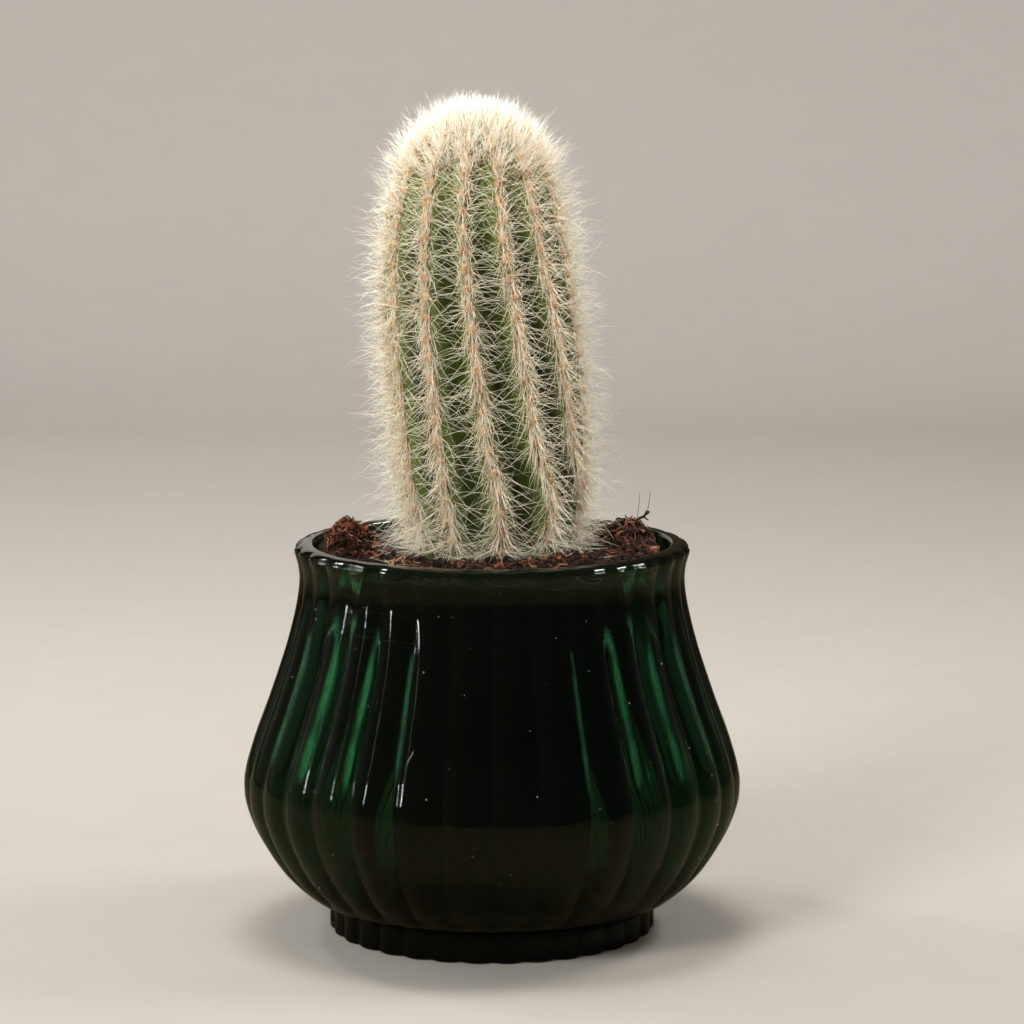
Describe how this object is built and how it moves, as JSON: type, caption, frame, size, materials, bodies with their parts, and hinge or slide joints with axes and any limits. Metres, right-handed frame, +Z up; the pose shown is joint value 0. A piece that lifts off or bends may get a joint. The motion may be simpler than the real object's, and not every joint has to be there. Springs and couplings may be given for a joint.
{
  "type": "potted columnar cactus",
  "caption": "Bristly ribbed columnar cactus in soil, in a plastic growing pot inside a fluted dark green glass pot that stands on its foot.",
  "frame": {"origin": "centre of the ring under the glass foot that the pot stands on", "axes": "+Z up along the pot's axis; -Y is the front, the side that the picture shows"},
  "size_m": [0.1194, 0.1194, 0.2037],
  "materials": {
    "pot_glass": "clear dark bottle-green glass, polished",
    "growing_pot_plastic": "satin black moulded plastic",
    "potting_soil": "dark peat and coir fibre, loose and damp",
    "cactus_skin": "waxy dark green skin under cream and white bristles"
  },
  "bodies": {
    "root": {"glass_pot": "pot_glass", "nursery_pot": "growing_pot_plastic", "soil": "potting_soil", "cactus": "cactus_skin"}
  },
  "joints": []
}
